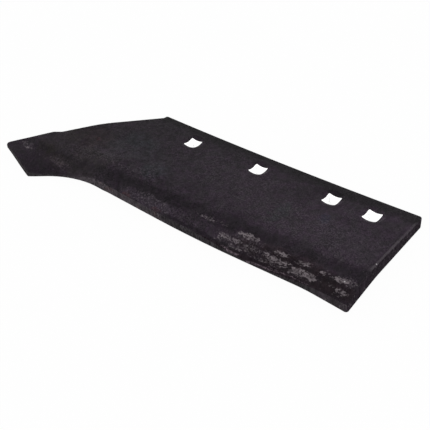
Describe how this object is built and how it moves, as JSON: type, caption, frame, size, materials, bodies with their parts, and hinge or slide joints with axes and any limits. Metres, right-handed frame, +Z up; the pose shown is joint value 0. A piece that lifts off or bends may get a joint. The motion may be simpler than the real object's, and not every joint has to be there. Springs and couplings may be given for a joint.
{
  "type": "plough share",
  "caption": "Left-hand bar share for a mouldboard plough: flat bolting plate with square dished bolt holes, creased cutting edge and a forged beak nose.",
  "frame": {"origin": "centre of the bounding box at the ground, under the share as it lies at rest", "axes": "+X along the bolt row from the nose to the wing end, +Y from the cutting edge to the back edge, +Z up, out of the soil face, which leans back about 7 degrees"},
  "size_m": [0.408, 0.1386, 0.0209],
  "materials": {
    "mill_scale_steel": "rolled and forged steel under dark mill scale, satin, with pale scuffs along the cutting edge and bare sheared walls in the bolt holes"
  },
  "bodies": {
    "root": {"share": "mill_scale_steel"}
  },
  "joints": []
}
